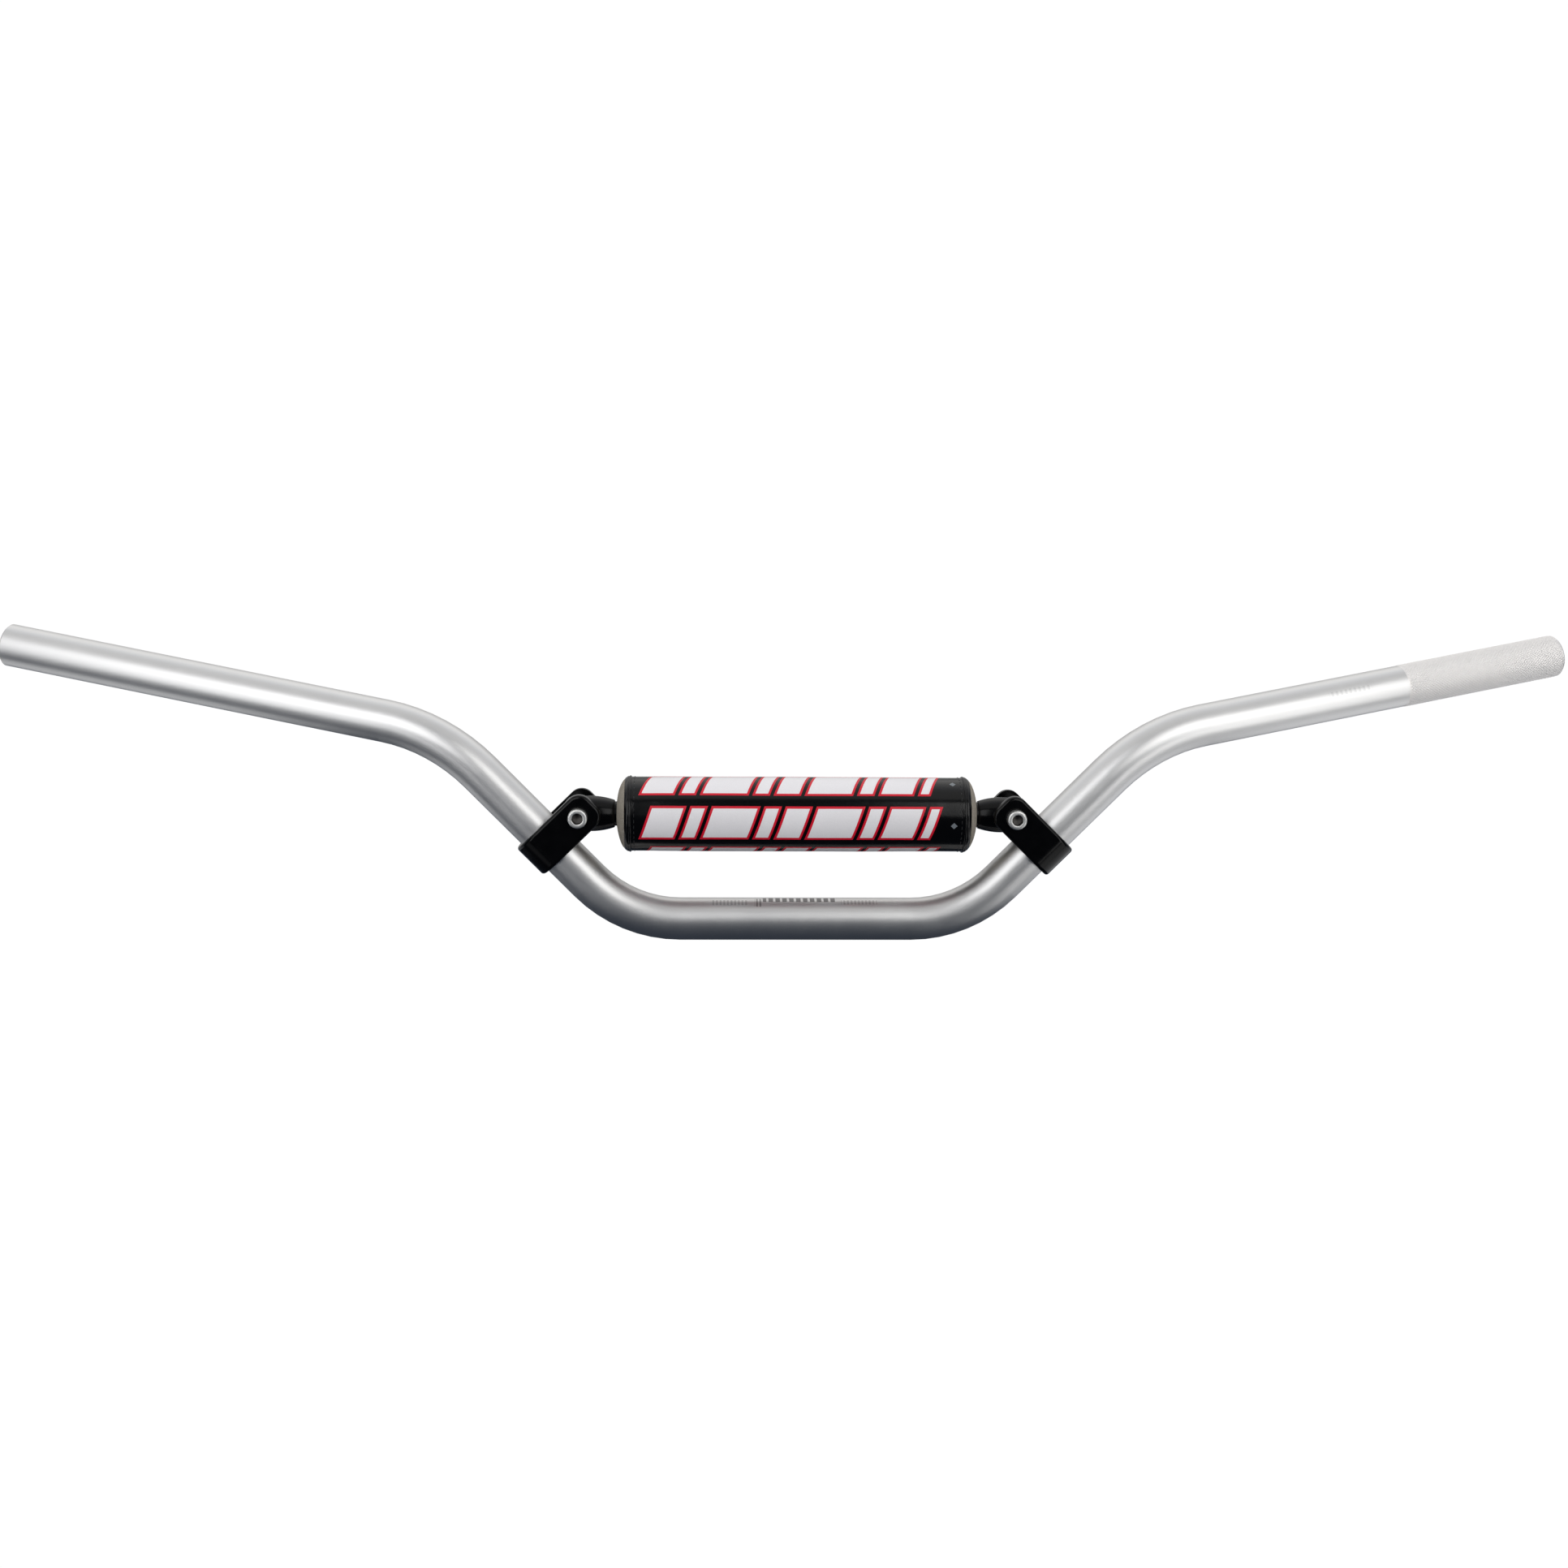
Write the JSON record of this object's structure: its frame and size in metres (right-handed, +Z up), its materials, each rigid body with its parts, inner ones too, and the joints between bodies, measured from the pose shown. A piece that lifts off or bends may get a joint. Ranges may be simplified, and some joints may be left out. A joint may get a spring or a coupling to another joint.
{
  "type": "motorcycle handlebar",
  "caption": "High-rise braced motorcycle handlebar: a bent aluminium tube with a clamped crossbar and a round foam crossbar pad.",
  "frame": {"origin": "on the main tube's axis, in the middle of the straight centre section that the bar mounts clamp", "axes": "+X along the bar to the rider's left (the knurled clutch side), +Y back towards the rider, +Z up; the risers lie in the XZ plane"},
  "size_m": [0.8322, 0.0709, 0.1598],
  "materials": {
    "satin_aluminium": "satin, bead-blasted and clear anodised",
    "black_clamp": "gloss black anodised",
    "black_crossbar": "gloss black anodised",
    "bright_screw": "polished bright zinc-plated steel",
    "zinc_steel": "satin zinc-plated steel",
    "spring_steel": "satin dark spring steel",
    "nylon": "matte natural nylon",
    "beige_foam": "matte closed-cell foam",
    "black_vinyl": "gloss printed vinyl",
    "closure_tape": "matte woven touch-and-close tape"
  },
  "bodies": {
    "bar_assembly": {"handlebar_tube": "satin_aluminium", "crossbar_clamp_left": "black_clamp", "crossbar_clamp_right": "black_clamp", "clamp_washer_left": "zinc_steel", "clamp_washer_right": "zinc_steel", "clamp_nut_left": "zinc_steel", "clamp_nut_right": "zinc_steel", "nut_insert_left": "nylon", "nut_insert_right": "nylon", "crossbar_tube": "black_crossbar", "crossbar_end_left": "black_crossbar", "crossbar_end_right": "black_crossbar", "crossbar_pin_left": "spring_steel", "crossbar_pin_right": "spring_steel"},
    "crossbar_pad": {"pad_foam": "beige_foam", "pad_cover": "black_vinyl", "pad_piping_left": "black_vinyl", "pad_piping_right": "black_vinyl", "pad_hook_strip": "closure_tape", "pad_loop_strip": "closure_tape"},
    "left_screw": {"clamp_screw_left": "bright_screw"},
    "right_screw": {"clamp_screw_right": "bright_screw"}
  },
  "joints": [
    {"name": "pad_turn", "type": "hinge", "parent": "bar_assembly", "child": "crossbar_pad", "pos_m": [0, 0, 0.05558], "axis": [1, 0, 0], "continuous": true},
    {"name": "left_screw_turn", "type": "hinge", "parent": "bar_assembly", "child": "left_screw", "pos_m": [0.11282, -0.0145, 0.05558], "axis": [0, -1, 0], "continuous": true},
    {"name": "right_screw_turn", "type": "hinge", "parent": "bar_assembly", "child": "right_screw", "pos_m": [-0.11282, -0.0145, 0.05558], "axis": [0, -1, 0], "continuous": true}
  ]
}
